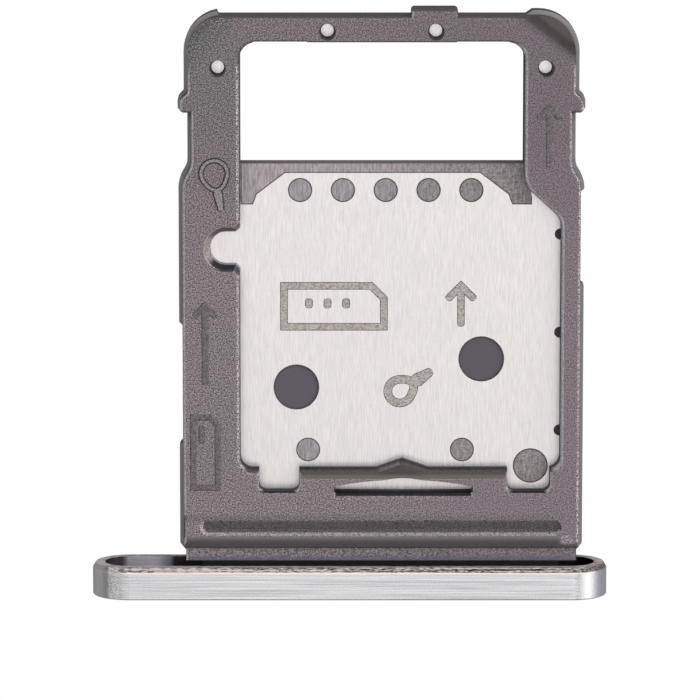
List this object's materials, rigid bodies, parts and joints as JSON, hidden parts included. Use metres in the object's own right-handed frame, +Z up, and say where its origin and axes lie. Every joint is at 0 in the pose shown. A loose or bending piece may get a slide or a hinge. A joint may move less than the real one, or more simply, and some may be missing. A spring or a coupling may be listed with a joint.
{
  "type": "sim card tray",
  "caption": "Flat pull-out card tray for a phone, with a moulded frame over a thin steel sheet, a stacked memory card and sim pocket, and a round-ended metal head.",
  "frame": {"origin": "under the middle of the tray, level with the underside of the head", "axes": "+Y from the head to the leading tip, +Z up out of the memory card pocket"},
  "size_m": [0.0182, 0.0208, 0.0026],
  "materials": {
    "frame_plastic": "fine matte grain",
    "insert_steel": "brushed along the tray",
    "head_aluminium": "satin anodised"
  },
  "bodies": {
    "root": {"tray_frame": "frame_plastic", "steel_insert": "insert_steel", "tray_head": "head_aluminium"}
  },
  "joints": []
}
